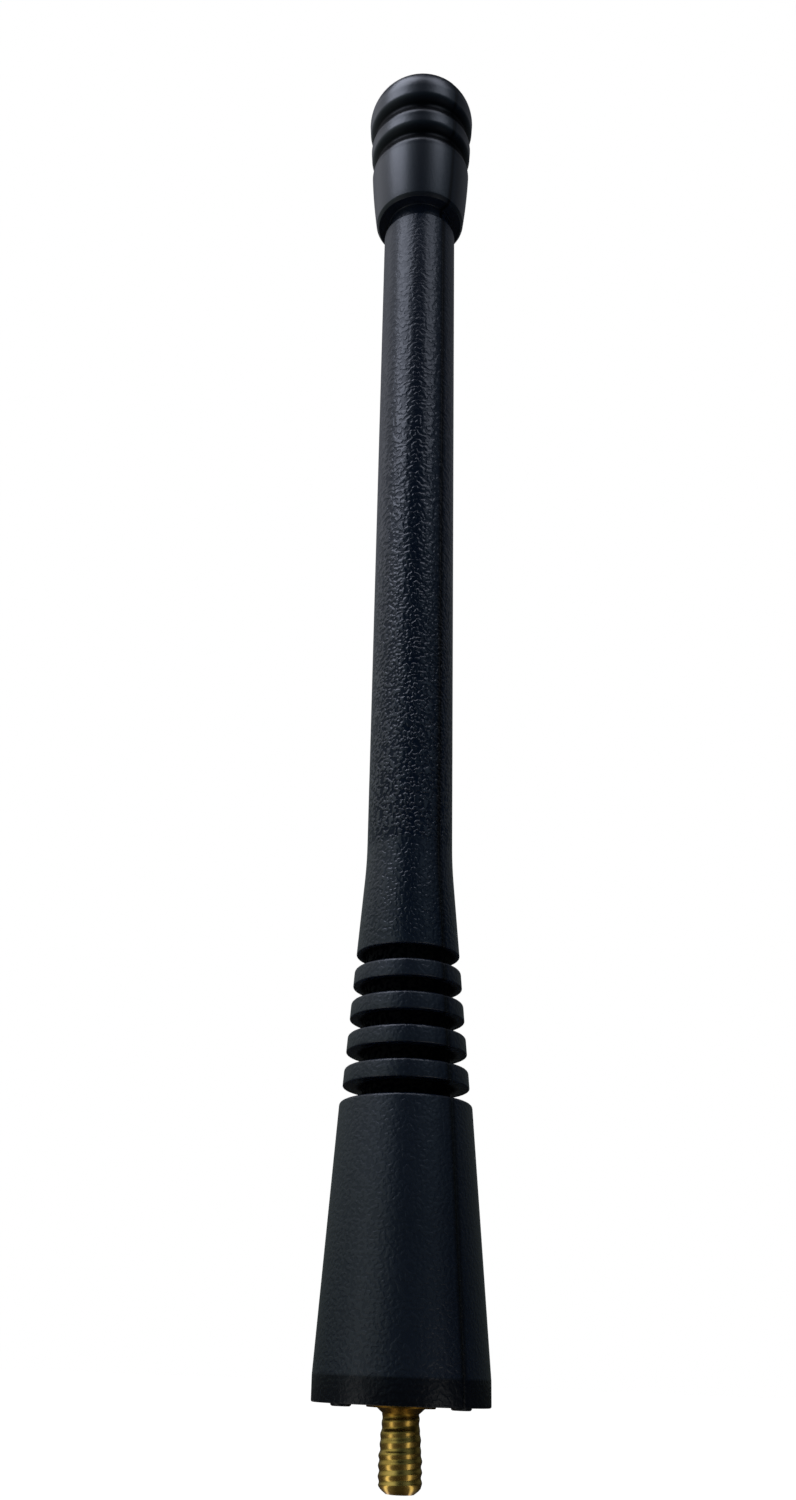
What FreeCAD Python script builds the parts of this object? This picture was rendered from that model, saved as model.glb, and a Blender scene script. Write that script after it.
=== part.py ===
# Stubby dipole antenna for a hand-held radio: a threaded brass stud in a moulded
# plastic sheath, with a coaxial line inside that feeds a sleeve and a strip helix.
# Millimetres. +Z runs along the axis towards the tip. The origin is the centre of
# the seating plane, on which the stud's shoulder and the three pips under the foot rest.

import FreeCAD, Part
import math
import os

import Sketcher

doc = FreeCAD.newDocument("StubbyDipole")
sheet = doc.addObject("Spreadsheet::Sheet", "Sizes")


class Size:
    """A length, angle or count: its number, and the sheet expression that gives it."""

    def __init__(self, text, value):
        self.text = text
        self.value = value

    def __add__(self, other):
        return Size(f"({self.text} + {other.text})", self.value + other.value)

    def __sub__(self, other):
        return Size(f"({self.text} - {other.text})", self.value - other.value)

    def __mul__(self, other):
        return Size(f"({self.text} * {other.text})", self.value * other.value)

    def __truediv__(self, other):
        return Size(f"({self.text} / {other.text})", self.value / other.value)


def number(value):
    """A plain count or factor, usable beside sizes."""
    return Size(str(value), float(value))


def cosine(angle):
    return Size(f"cos({angle.text})", math.cos(math.radians(angle.value)))


def sine(angle):
    return Size(f"sin({angle.text})", math.sin(math.radians(angle.value)))


def tangent(angle):
    return Size(f"tan({angle.text})", math.tan(math.radians(angle.value)))


ZERO = number(0)
HALF = number(0.5)
rows = iter(range(1, 1000))


def size(name, value):
    """Write one driving dimension into the sheet under its own name."""
    row = next(rows)
    sheet.set(f"A{row}", name)
    sheet.set(f"B{row}", str(value))
    sheet.setAlias(f"B{row}", name)
    return Size(f"Sizes.{name}", float(value))


# Moulded foot
foot_radius = size("foot_radius", 10.0)
foot_band = size("foot_band", 2.8)
cone_height = size("cone_height", 30.2)
cone_top_radius = size("cone_top_radius", 7.95)
pip_height = size("pip_height", 0.3)
pip_radius = size("pip_radius", 1.1)
pip_circle = size("pip_circle", 7.5)
pip_count = size("pip_count", 3)
pip_turn = size("pip_turn", -30.0)

# Five flexing grooves above the cone, with rings between them
groove_count = 5
groove_width = size("groove_width", 1.9)
groove_pitch = size("groove_pitch", 4.1)
groove_floor = size("groove_floor", 5.3)
ring_low_radius = size("ring_low_radius", 7.78)
ring_high_radius = size("ring_high_radius", 6.43)
ring_bevel = size("ring_bevel", 0.4)

# Flare and stem
flare_angle = size("flare_angle", 4.45)
stem_radius = size("stem_radius", 5.47)
stem_reach = size("stem_reach", 117.4)
stem_bevel = size("stem_bevel", 0.35)

# Head
neck_radius = size("neck_radius", 4.9)
neck_height = size("neck_height", 2.2)
rim_radius = size("rim_radius", 6.43)
rim_height = size("rim_height", 1.5)
skirt_low_radius = size("skirt_low_radius", 6.93)
skirt_high_radius = size("skirt_high_radius", 7.76)
skirt_height = size("skirt_height", 11.0)
head_radius = size("head_radius", 8.32)
band_height = size("band_height", 9.2)
head_groove_rise = size("head_groove_rise", 0.15)
head_groove_gap = size("head_groove_gap", 5.7)
head_groove_width = size("head_groove_width", 3.0)
head_groove_floor = size("head_groove_floor", 0.8)
head_groove_depth = size("head_groove_depth", 0.8)
dome_shoulder = size("dome_shoulder", 6.0)
dome_angle = size("dome_angle", 70.0)
tip_cover = size("tip_cover", 4.6)

# Threaded brass stud: No. 10-24 UNC, major diameter 4.826 mm
thread_radius = size("thread_radius", 2.413)
thread_length = size("thread_length", 7.0)
thread_chamfer = size("thread_chamfer", 0.6)
relief_radius = size("relief_radius", 2.05)
relief_length = size("relief_length", 0.9)
shoulder_flare = size("shoulder_flare", 0.7)
shoulder_radius = size("shoulder_radius", 3.85)
shoulder_height = size("shoulder_height", 1.5)
lock_radius = size("lock_radius", 3.2)
lock_height = size("lock_height", 1.5)
hex_flats = size("hex_flats", 9.5)
hex_height = size("hex_height", 5.0)
spigot_radius = size("spigot_radius", 2.2)
spigot_height = size("spigot_height", 5.0)
cup_depth = size("cup_depth", 4.0)

# Thin coaxial line
core_radius = size("core_radius", 0.255)
dielectric_radius = size("dielectric_radius", 0.76)
braid_radius = size("braid_radius", 0.99)
jacket_radius = size("jacket_radius", 1.245)

# Insulator bush and brass collar in the foot
bush_flange_height = size("bush_flange_height", 1.2)
bush_wall = size("bush_wall", 1.0)
bush_roof = size("bush_roof", 1.2)
collar_radius = size("collar_radius", 6.0)
collar_roof = size("collar_roof", 1.3)
boss_radius = size("boss_radius", 2.0)
boss_height = size("boss_height", 4.0)

# Tube round the dipole, its foot and its plug
slip = size("slip", 0.05)
tube_radius = size("tube_radius", 4.1)
tube_wall = size("tube_wall", 0.5)
tube_foot_cover = size("tube_foot_cover", 0.5)
tube_foot_spigot = size("tube_foot_spigot", 6.0)
plug_flange = size("plug_flange", 1.5)
plug_spigot = size("plug_spigot", 4.2)

# Dipole: a sleeve below the feed point and a helix above it
sleeve_start = size("sleeve_start", 10.0)
sleeve_length = size("sleeve_length", 72.0)
sleeve_wall = size("sleeve_wall", 0.3)
spacer_height = size("spacer_height", 3.0)
end_spigot = size("end_spigot", 2.5)
end_disc = size("end_disc", 1.2)
feed_gap = size("feed_gap", 4.0)
helix_turns = 4
strip_width = size("strip_width", 2.4)
strip_thickness = size("strip_thickness", 0.6)
former_radius = size("former_radius", 2.28)
solder_gap = size("solder_gap", 0.02)
flange_radius = size("flange_radius", 3.4)
flange_height = size("flange_height", 1.5)
hub_height = size("hub_height", 5.0)
core_reach = size("core_reach", 4.8)

# Heights of the outside, from the seating plane
underside = pip_height
band_top = underside + foot_band
cone_top = band_top + cone_height
flare_foot = cone_top + groove_width + groove_pitch * number(groove_count - 1)
stem_top = flare_foot + stem_reach
rim = stem_top + neck_height
skirt_foot = rim + rim_height
skirt_top = skirt_foot + skirt_height
band_rim = skirt_top + band_height

# Heights of the inside, from the stud up to the feed point
shoulder_top = shoulder_height
hex_foot = shoulder_top + lock_height
hex_top = hex_foot + hex_height
bush_flange_top = hex_top + bush_flange_height
spigot_top = hex_top + spigot_height
bush_top = spigot_top + bush_roof
collar_top = bush_top + collar_roof
boss_top = collar_top + boss_height
tube_bottom = boss_top + tube_foot_cover
sleeve_bottom = tube_bottom + tube_foot_spigot + sleeve_start
sleeve_top = sleeve_bottom + sleeve_length
jacket_top = sleeve_top - end_spigot
feed_bottom = sleeve_top + end_disc
feed_top = feed_bottom + feed_gap
terminal_flange_top = feed_top + flange_height
terminal_hub_top = terminal_flange_top + hub_height
helix_start = terminal_flange_top + solder_gap

# Heights of the inside, from the head down to the helix
plug_top = band_rim - tip_cover
tube_top = plug_top - plug_flange
cap_top = tube_top - plug_spigot
cap_flange_foot = cap_top - flange_height
cap_hub_foot = cap_flange_foot - hub_height
helix_rise = cap_flange_foot - solder_gap - strip_width - helix_start
helix_pitch = helix_rise / number(helix_turns)

# Radii worked out from the ones above
tube_bore = tube_radius - tube_wall
inner_radius = tube_bore - slip
sleeve_bore = inner_radius - sleeve_wall
bush_radius = spigot_radius + bush_wall
shank_end = ZERO - relief_length - shoulder_flare - thread_length
helix_bore = former_radius + solder_gap


def origin_plane(body, role):
    """One of a body's own origin planes, by its role."""
    for feature in body.Origin.OriginFeatures:
        if feature.Role == role:
            return feature
    raise ValueError(role)


def new_body(label):
    body = doc.addObject("PartDesign::Body", label)
    body.Label = label
    return body


def new_sketch(body, name, role="XZ_Plane", height=ZERO):
    """A sketch on one of the body's origin planes, lifted along Z where a height is given."""
    sketch = body.newObject("Sketcher::SketchObject", name)
    sketch.AttachmentSupport = (origin_plane(body, role), "")
    sketch.MapMode = "FlatFace"
    if height is not ZERO:
        sketch.setExpression("AttachmentOffset.Base.z", height.text)
    return sketch


def tie(sketch, constraint, length):
    """Add a dimension to a sketch and bind it to its size."""
    index = sketch.addConstraint(constraint)
    sketch.setExpression(f"Constraints[{index}]", length.text)


def pin_point(sketch, edge, end, across, along):
    """Fix one end of an edge by its radius and its height."""
    if across is ZERO:
        sketch.addConstraint(Sketcher.Constraint("PointOnObject", edge, end, -2))
    else:
        tie(sketch, Sketcher.Constraint("DistanceX", -1, 1, edge, end, across.value), across)
    if along is ZERO:
        sketch.addConstraint(Sketcher.Constraint("PointOnObject", edge, end, -1))
    else:
        tie(sketch, Sketcher.Constraint("DistanceY", -1, 1, edge, end, along.value), along)


def arc_between(start, end, radius):
    """Circle arc from start to end. A positive radius keeps the centre on the left."""
    dx = end.x - start.x
    dy = end.y - start.y
    chord = math.hypot(dx, dy)
    rise = math.sqrt(max(radius * radius - chord * chord / 4, 0))
    side = 1 if radius > 0 else -1
    middle = (start + end) * 0.5
    centre = middle + FreeCAD.Vector(-dy, dx, 0) * (side * rise / chord)
    angles = [math.atan2(point.y - centre.y, point.x - centre.x) for point in (start, end)]
    circle = Part.Circle(centre, FreeCAD.Vector(0, 0, 1), abs(radius))
    if side > 0:
        return Part.ArcOfCircle(circle, angles[0], angles[1])
    return Part.ArcOfCircle(circle, angles[1], angles[0])


def draw_outline(sketch, points):
    """Closed outline through (radius, height) points. A third entry, (size, side),
    makes the edge that arrives at the point an arc: side +1 has its centre on the left."""
    places = [FreeCAD.Vector(point[0].value, point[1].value, 0) for point in points]
    ends = []
    for index, point in enumerate(points):
        start = places[index - 1]
        finish = places[index]
        if len(point) == 2:
            edge = sketch.addGeometry(Part.LineSegment(start, finish), False)
            ends.append((edge, 1, 2))
            continue
        radius, side = point[2]
        edge = sketch.addGeometry(arc_between(start, finish, radius.value * side), False)
        ends.append((edge, 1, 2) if side > 0 else (edge, 2, 1))
        tie(sketch, Sketcher.Constraint("Radius", edge, radius.value), radius)
    for index, point in enumerate(points):
        edge, first, last = ends[index]
        following, following_first, following_last = ends[(index + 1) % len(points)]
        sketch.addConstraint(Sketcher.Constraint("Coincident", edge, last, following, following_first))
        pin_point(sketch, edge, last, point[0], point[1])


def turn(body, name, *outlines, cut=False):
    """Turn outlines about the axis, to add to the body or to cut from it."""
    sketch = new_sketch(body, name + "_outline")
    for points in outlines:
        draw_outline(sketch, points)
    feature = body.newObject("PartDesign::Groove" if cut else "PartDesign::Revolution", name)
    feature.Profile = sketch
    feature.ReferenceAxis = (sketch, ["V_Axis"])
    feature.Angle = 360
    return feature


def lathe(label, *points):
    """A piece turned about the axis in one go."""
    body = new_body(label)
    turn(body, label + "_turning", points)
    return body


def ring(label, inner, outer, bottom, top):
    """A plain tube, ring or bead."""
    return lathe(label, (inner, bottom), (outer, bottom), (outer, top), (inner, top))


def rod(label, radius, bottom, top):
    """A plain rod on the axis."""
    return lathe(label, (ZERO, bottom), (radius, bottom), (radius, top), (ZERO, top))


def hexagon(sketch, flats):
    """A hexagon round the axis, given across its flats."""
    corner = flats.value / math.sqrt(3)
    turns = [math.radians(60 * step) for step in range(6)]
    places = [FreeCAD.Vector(corner * math.cos(a), corner * math.sin(a), 0) for a in turns]
    for index in range(6):
        sketch.addGeometry(Part.LineSegment(places[index], places[(index + 1) % 6]), False)
    circle = sketch.addGeometry(Part.Circle(FreeCAD.Vector(), FreeCAD.Vector(0, 0, 1), corner), True)
    sketch.addConstraint(Sketcher.Constraint("Coincident", circle, 3, -1, 1))
    for index in range(6):
        following = (index + 1) % 6
        sketch.addConstraint(Sketcher.Constraint("Coincident", index, 2, following, 1))
        sketch.addConstraint(Sketcher.Constraint("PointOnObject", index, 1, circle))
        if index:
            sketch.addConstraint(Sketcher.Constraint("Equal", 0, index))
    sketch.addConstraint(Sketcher.Constraint("Horizontal", 1))
    tie(sketch, Sketcher.Constraint("Distance", -1, 1, 1, flats.value / 2), flats * HALF)


def ring_radius(height):
    """Outer radius of the grooved taper at a height."""
    share = (height - cone_top) / (flare_foot - cone_top)
    return ring_low_radius + (ring_high_radius - ring_low_radius) * share


def cone_radius(height):
    """Outer radius of the foot's cone at a height."""
    share = (cone_top - height) / cone_height
    return cone_top_radius + (foot_radius - cone_top_radius) * share


def flexing_groove(index):
    """Section of one groove, with a bevel on the edge below it."""
    bottom = cone_top + groove_pitch * number(index)
    top = bottom + groove_width
    bevel_foot = bottom - ring_bevel
    edge = ring_radius(bevel_foot) if index else cone_radius(bevel_foot)
    return (
        (foot_radius, bevel_foot),
        (edge, bevel_foot),
        (edge - ring_bevel, bottom),
        (groove_floor, bottom),
        (groove_floor, top),
        (foot_radius, top),
    )


def band_radius(rise):
    """Outer radius of the head's widening band, at a rise above the skirt."""
    return skirt_high_radius + (head_radius - skirt_high_radius) * rise / band_height


def head_groove(rise):
    """Section of one shallow groove in the head's band: a flat floor and sloping walls."""
    middle = skirt_top + rise
    reach = head_groove_width * HALF
    flat = head_groove_floor * HALF
    floor = band_radius(rise) - head_groove_depth
    return (
        (foot_radius, middle - reach),
        (band_radius(rise - reach), middle - reach),
        (floor, middle - flat),
        (floor, middle + flat),
        (band_radius(rise + reach), middle + reach),
        (foot_radius, middle + reach),
    )


def sheath():
    """The one moulding: foot, grooves, flare, stem and head, over a cavity for the rest."""
    body = new_body("sheath")
    corner = flare_foot + (ring_high_radius - stem_radius) / tangent(flare_angle)
    crown_radius = dome_shoulder + (head_radius - dome_shoulder) / cosine(dome_angle)
    crown_centre = band_rim - (head_radius - dome_shoulder) * tangent(dome_angle)
    dome_turn_radius = head_radius - dome_shoulder + dome_shoulder * cosine(dome_angle)
    dome_turn_height = band_rim + dome_shoulder * sine(dome_angle)
    turn(body, "sheath_outside", (
        (ZERO, underside),
        (foot_radius, underside),
        (foot_radius, band_top),
        (cone_top_radius, cone_top),
        (ring_low_radius, cone_top),
        (ring_high_radius, flare_foot),
        (stem_radius, corner),
        (stem_radius, stem_top - stem_bevel),
        (stem_radius - stem_bevel, stem_top),
        (neck_radius, stem_top),
        (neck_radius, rim),
        (rim_radius, rim),
        (skirt_low_radius, skirt_foot),
        (skirt_high_radius, skirt_top),
        (head_radius, band_rim),
        (dome_turn_radius, dome_turn_height, (dome_shoulder, 1)),
        (ZERO, crown_centre + crown_radius, (crown_radius, 1)),
    ))
    turn(body, "flexing_grooves", *[flexing_groove(index) for index in range(groove_count)], cut=True)
    low = head_groove_rise
    turn(body, "head_grooves", head_groove(low), head_groove(low + head_groove_gap), cut=True)
    turn(body, "cavity", (
        (ZERO, ZERO),
        (shoulder_radius, ZERO),
        (shoulder_radius, shoulder_top),
        (lock_radius, shoulder_top),
        (lock_radius, hex_top),
        (collar_radius, hex_top),
        (collar_radius, tube_bottom),
        (tube_radius, tube_bottom),
        (tube_radius, plug_top),
        (ZERO, plug_top),
    ), cut=True)
    hex_sketch = new_sketch(body, "hex_seat_outline", "XY_Plane", hex_top)
    hexagon(hex_sketch, hex_flats)
    hex_seat = body.newObject("PartDesign::Pocket", "hex_seat")
    hex_seat.Profile = hex_sketch
    hex_seat.setExpression("Length", hex_height.text)
    pips(body)


def pips(body):
    """Low round pips under the foot, which steady it on the radio."""
    sketch = new_sketch(body, "pip_outline", "XY_Plane")
    across = pip_circle * cosine(pip_turn)
    along = pip_circle * sine(pip_turn)
    place = FreeCAD.Vector(across.value, along.value, 0)
    circle = sketch.addGeometry(Part.Circle(place, FreeCAD.Vector(0, 0, 1), pip_radius.value), False)
    pin_point(sketch, circle, 3, across, along)
    tie(sketch, Sketcher.Constraint("Radius", circle, pip_radius.value), pip_radius)
    pip = body.newObject("PartDesign::Pad", "pip")
    pip.Profile = sketch
    pip.setExpression("Length", pip_height.text)
    doc.recompute()
    pattern = body.newObject("PartDesign::PolarPattern", "pip_pattern")
    pattern.Originals = [pip]
    pattern.Axis = (sketch, ["N_Axis"])
    pattern.Angle = 360
    pattern.setExpression("Occurrences", pip_count.text)
    body.Tip = pattern


def threaded_stud():
    """Turned brass insert: shank, shoulder, hexagon that keys it in the moulding, solder cup."""
    body = new_body("threaded_stud")
    relief_foot = ZERO - relief_length - shoulder_flare
    turn(body, "stud_turning", (
        (ZERO, shank_end),
        (thread_radius - thread_chamfer, shank_end),
        (thread_radius, shank_end + thread_chamfer),
        (thread_radius, relief_foot),
        (relief_radius, relief_foot + thread_radius - relief_radius),
        (relief_radius, ZERO - shoulder_flare),
        (relief_radius + shoulder_flare, ZERO),
        (shoulder_radius, ZERO),
        (shoulder_radius, shoulder_top),
        (lock_radius, shoulder_top),
        (lock_radius, hex_top),
        (spigot_radius, hex_top),
        (spigot_radius, spigot_top),
        (core_radius, spigot_top),
        (core_radius, spigot_top - cup_depth),
        (ZERO, spigot_top - cup_depth),
    ))
    sketch = new_sketch(body, "stud_hex_outline", "XY_Plane", hex_foot)
    hexagon(sketch, hex_flats)
    hex_body = body.newObject("PartDesign::Pad", "stud_hex")
    hex_body.Profile = sketch
    hex_body.setExpression("Length", hex_height.text)


def foot_pieces():
    """The insulator bush over the stud's spigot and the brass collar over the bush."""
    lathe(
        "stud_insulator",
        (spigot_radius, hex_top),
        (collar_radius, hex_top),
        (collar_radius, bush_flange_top),
        (bush_radius, bush_flange_top),
        (bush_radius, bush_top),
        (dielectric_radius, bush_top),
        (dielectric_radius, spigot_top),
        (spigot_radius, spigot_top),
    )
    lathe(
        "coupling_collar",
        (bush_radius, bush_flange_top),
        (collar_radius, bush_flange_top),
        (collar_radius, collar_top),
        (boss_radius, collar_top),
        (boss_radius, boss_top),
        (braid_radius, boss_top),
        (braid_radius, bush_top),
        (bush_radius, bush_top),
    )


def coaxial_line():
    """The line from the stud's solder cup to the feed point."""
    rod("inner_conductor", core_radius, spigot_top - cup_depth, feed_top + core_reach)
    ring("coax_dielectric", core_radius, dielectric_radius, spigot_top, feed_top)
    ring("coax_braid", dielectric_radius, braid_radius, bush_top, feed_bottom)
    ring("coax_jacket", braid_radius, jacket_radius, boss_top, jacket_top)


def tube_pieces():
    """The carrier tube, its foot on the collar and the plug in its upper end."""
    lathe(
        "tube_foot",
        (boss_radius, collar_top),
        (collar_radius, collar_top),
        (collar_radius, tube_bottom),
        (inner_radius, tube_bottom),
        (inner_radius, tube_bottom + tube_foot_spigot),
        (jacket_radius, tube_bottom + tube_foot_spigot),
        (jacket_radius, boss_top),
        (boss_radius, boss_top),
    )
    ring("carrier_tube", tube_bore, tube_radius, tube_bottom, tube_top)
    lathe(
        "tip_plug",
        (ZERO, cap_top),
        (inner_radius, cap_top),
        (inner_radius, tube_top),
        (tube_radius, tube_top),
        (tube_radius, plug_top),
        (ZERO, plug_top),
    )


def lower_arm():
    """The brass sleeve, the beads that centre the line in it, and its end at the feed point."""
    ring("lower_sleeve", sleeve_bore, inner_radius, sleeve_bottom, sleeve_top)
    middle = (sleeve_bottom + jacket_top - spacer_height) * HALF
    ring("sleeve_spacer_low", jacket_radius, sleeve_bore, sleeve_bottom, sleeve_bottom + spacer_height)
    ring("sleeve_spacer_middle", jacket_radius, sleeve_bore, middle, middle + spacer_height)
    lathe(
        "sleeve_end",
        (braid_radius, jacket_top),
        (sleeve_bore, jacket_top),
        (sleeve_bore, sleeve_top),
        (inner_radius, sleeve_top),
        (inner_radius, feed_bottom),
        (braid_radius, feed_bottom),
    )


def upper_arm():
    """The feed insulator, the brass ends, the former between them and the helix round it."""
    ring("feed_insulator", dielectric_radius, inner_radius, feed_bottom, feed_top)
    lathe(
        "feed_terminal",
        (core_radius, feed_top),
        (flange_radius, feed_top),
        (flange_radius, terminal_flange_top),
        (former_radius, terminal_flange_top),
        (former_radius, terminal_hub_top),
        (ZERO, terminal_hub_top),
        (ZERO, feed_top + core_reach),
        (core_radius, feed_top + core_reach),
    )
    rod("helix_former", former_radius, terminal_hub_top, cap_hub_foot)
    lathe(
        "helix_cap",
        (ZERO, cap_hub_foot),
        (former_radius, cap_hub_foot),
        (former_radius, cap_flange_foot),
        (flange_radius, cap_flange_foot),
        (flange_radius, cap_top),
        (ZERO, cap_top),
    )
    body = new_body("upper_helix")
    sketch = new_sketch(body, "strip_section")
    draw_outline(sketch, (
        (helix_bore, helix_start),
        (helix_bore + strip_thickness, helix_start),
        (helix_bore + strip_thickness, helix_start + strip_width),
        (helix_bore, helix_start + strip_width),
    ))
    strip = body.newObject("PartDesign::AdditiveHelix", "strip")
    strip.Profile = sketch
    strip.ReferenceAxis = (sketch, ["V_Axis"])
    strip.Mode = 0
    strip.setExpression("Pitch", helix_pitch.text)
    strip.setExpression("Height", helix_rise.text)


def check_document():
    """Stop if any object failed or any piece is not one sound solid."""
    for item in doc.Objects:
        if "Invalid" in item.State or "Error" in item.State:
            raise RuntimeError(f"{item.Label} failed: {item.State}")
    for body in doc.findObjects("PartDesign::Body"):
        shape = body.Shape
        if shape.isNull() or not shape.isValid() or len(shape.Solids) != 1:
            raise RuntimeError(f"{body.Label} is not one valid solid")


def write_pieces():
    os.makedirs("parts", exist_ok=True)
    for body in doc.findObjects("PartDesign::Body"):
        body.Shape.exportStep(f"parts/{body.Label}.step")


sheath()
threaded_stud()
foot_pieces()
coaxial_line()
tube_pieces()
lower_arm()
upper_arm()
doc.recompute()
check_document()
write_pieces()
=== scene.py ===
import math

import bpy
from mathutils import Matrix, Vector


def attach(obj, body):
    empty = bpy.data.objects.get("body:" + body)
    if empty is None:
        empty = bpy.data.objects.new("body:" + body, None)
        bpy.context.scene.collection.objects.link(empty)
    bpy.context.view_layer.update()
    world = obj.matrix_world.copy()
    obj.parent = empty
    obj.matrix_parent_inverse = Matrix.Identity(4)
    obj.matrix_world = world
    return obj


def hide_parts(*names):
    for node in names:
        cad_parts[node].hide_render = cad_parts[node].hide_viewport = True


# The looks of a stubby dipole antenna: a moulded sheath on a threaded brass stud, with the
# coaxial line, sleeve and helix that the CAD holds inside. Outlines are in millimetres, as
# (radius, height) from the seating plane; the scene is in metres.

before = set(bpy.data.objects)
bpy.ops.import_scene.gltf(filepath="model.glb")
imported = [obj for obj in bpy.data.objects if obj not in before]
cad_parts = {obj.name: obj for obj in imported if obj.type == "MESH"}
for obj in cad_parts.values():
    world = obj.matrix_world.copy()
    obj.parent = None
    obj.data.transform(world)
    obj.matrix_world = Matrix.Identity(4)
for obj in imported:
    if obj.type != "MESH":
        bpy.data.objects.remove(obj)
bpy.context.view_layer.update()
scene = bpy.context.scene
MM = 0.001


# Camera: at the foot, looking up along the antenna

LONG_SIDE = 1500
SHORT_SIDE = 796
FOCAL = 1359
CENTRE_X = 336.2
CENTRE_Y = 822.1
CAMERA_PLACE = (0.71, -163.3, 2.81)
PITCH, YAW, ROLL = 22.23, -3.62, -2.19


def place_camera():
    """The camera, turned by yaw and pitch and then rolled about its line of sight."""
    pitch, yaw, roll = (math.radians(angle) for angle in (PITCH, YAW, ROLL))
    forward = Vector((
        math.sin(yaw) * math.cos(pitch), math.cos(yaw) * math.cos(pitch), math.sin(pitch)))
    level = Vector((math.cos(yaw), -math.sin(yaw), 0))
    down = forward.cross(level)
    right = math.cos(roll) * level + math.sin(roll) * down
    down = math.cos(roll) * down - math.sin(roll) * level
    data = bpy.data.cameras.new("camera")
    camera = bpy.data.objects.new("camera", data)
    turn = Matrix((right, -down, -forward)).transposed().to_4x4()
    camera.matrix_world = Matrix.Translation(Vector(CAMERA_PLACE) * MM) @ turn
    data.lens = FOCAL / LONG_SIDE * data.sensor_width
    data.shift_x = (SHORT_SIDE / 2 - CENTRE_X) / LONG_SIDE
    data.shift_y = (CENTRE_Y - LONG_SIDE / 2) / LONG_SIDE
    data.clip_start = 0.01
    scene.collection.objects.link(camera)
    scene.camera = camera


place_camera()


# Outlines

ARC_STEPS = 5


def rounded(corners):
    """Outline through corners (radius, height, rounding), each rounded by an arc of its own."""
    outline = []
    for index, (radius, height, *rounding) in enumerate(corners):
        if not rounding:
            outline.append((radius, height))
            continue
        here = Vector((radius, height))
        before = (Vector(corners[index - 1][:2]) - here).normalized()
        after = (Vector(corners[index + 1][:2]) - here).normalized()
        half = before.angle(after) / 2
        centre = here + (before + after).normalized() * (rounding[0] / math.sin(half))
        start = here + before * (rounding[0] / math.tan(half)) - centre
        sweep = start.angle_signed(here + after * (rounding[0] / math.tan(half)) - centre)
        for step in range(ARC_STEPS + 1):
            arm = start.copy()
            arm.rotate(Matrix.Rotation(-sweep * step / ARC_STEPS, 2))
            outline.append(tuple(centre + arm))
    return outline


def bow(start, finish, radius, steps):
    """Points of an arc from start to finish, with its centre on the left, both ends left out."""
    start, finish = Vector(start), Vector(finish)
    chord = finish - start
    rise = math.sqrt(radius ** 2 - chord.length_squared / 4)
    centre = (start + finish) / 2 + Vector((-chord.y, chord.x)).normalized() * rise
    sweep = 2 * math.asin(chord.length / 2 / radius)
    points = []
    for step in range(1, steps):
        arm = start - centre
        arm.rotate(Matrix.Rotation(sweep * step / steps, 2))
        points.append(tuple(centre + arm))
    return points


SHARP_FROM = math.radians(38)


def turned_piece(name, outline, angles, radius_at=None):
    """A closed piece turned from an outline whose two ends lie on the axis."""
    rows = []
    places = []
    for radius, height in outline:
        if radius == 0:
            rows.append([len(places)] * len(angles))
            places.append((0, 0, height * MM))
            continue
        rows.append(range(len(places), len(places) + len(angles)))
        for angle in angles:
            reach = radius_at(radius, height, angle) if radius_at else radius
            places.append((
                reach * MM * math.cos(angle), reach * MM * math.sin(angle), height * MM))
    faces = []
    for low, high in zip(rows, rows[1:]):
        for side in range(len(angles)):
            following = (side + 1) % len(angles)
            corners = (low[side], low[following], high[following], high[side])
            faces.append(tuple(dict.fromkeys(corners)))
    mesh = bpy.data.meshes.new(name)
    mesh.from_pydata(places, [], faces)
    mesh.shade_smooth()
    mesh.set_sharp_from_angle(angle=SHARP_FROM)
    piece = bpy.data.objects.new(name, mesh)
    scene.collection.objects.link(piece)
    return piece


def even_turn(count):
    """Angles of one whole turn in even steps."""
    return [2 * math.pi * step / count for step in range(count)]


def hexagon_radius(flats, angle):
    """Distance from the axis to a hexagon's side, with a corner at angle 0."""
    step = math.pi / 3
    return flats / 2 / math.cos(angle % step - step / 2)


# The sheath: one moulding, from the foot to the head

PIP_HEIGHT = 0.3
PIP_RADIUS = 1.15
PIP_ROUND = 0.27
PIP_ROOT = 0.2
PIP_CIRCLE = 7.5
PIP_TURNS = (-30, 90, 210)
PIP_SIDES = 48
FOOT_RADIUS = 9.98  # a hair under 10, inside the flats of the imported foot
BAND_TOP = 3.1
CONE_TOP = 33.3
CONE_TOP_RADIUS = 7.95
GROOVES = 5
GROOVE_WIDTH = 1.9
GROOVE_PITCH = 4.1
GROOVE_FLOOR = 5.3
GROOVE_CORNER = 0.12
RING_TOP_ROUND = 0.42
RING_FOOT_ROUND = 0.14
FLARE_FOOT = CONE_TOP + GROOVE_WIDTH + GROOVE_PITCH * (GROOVES - 1)
RING_LOW_RADIUS = 7.78
RING_HIGH_RADIUS = 6.43
FLARE_SLOPE = math.radians(4.45)
FLARE_BLEND = 64.0
STEM_RADIUS = 5.47
STEM_TOP = 169.0
NECK_RADIUS = 4.9
RIM = 171.2
RIM_RADIUS = 6.43
RIM_EDGE = (6.81, RIM + 0.55, 0.3)
SKIRT_FOOT = 172.7
SKIRT_TOP = 183.7
BAND_RIM = 192.9
HEAD_RADIUS = 8.32
SKIRT_LOW_RADIUS = 6.93
SKIRT_HIGH_RADIUS = 7.76
SKIRT_BOW = 0.12
HEAD_GROOVES = (SKIRT_TOP + 0.15, SKIRT_TOP + 5.85)
HEAD_GROOVE_REACH = 1.7
HEAD_GROOVE_LOW_REACH = 2.5
HEAD_GROOVE_DEPTH = 0.8
HEAD_STEPS = 110
DOME_SHOULDER = 6.0
DOME_TURN = math.radians(70)

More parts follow.
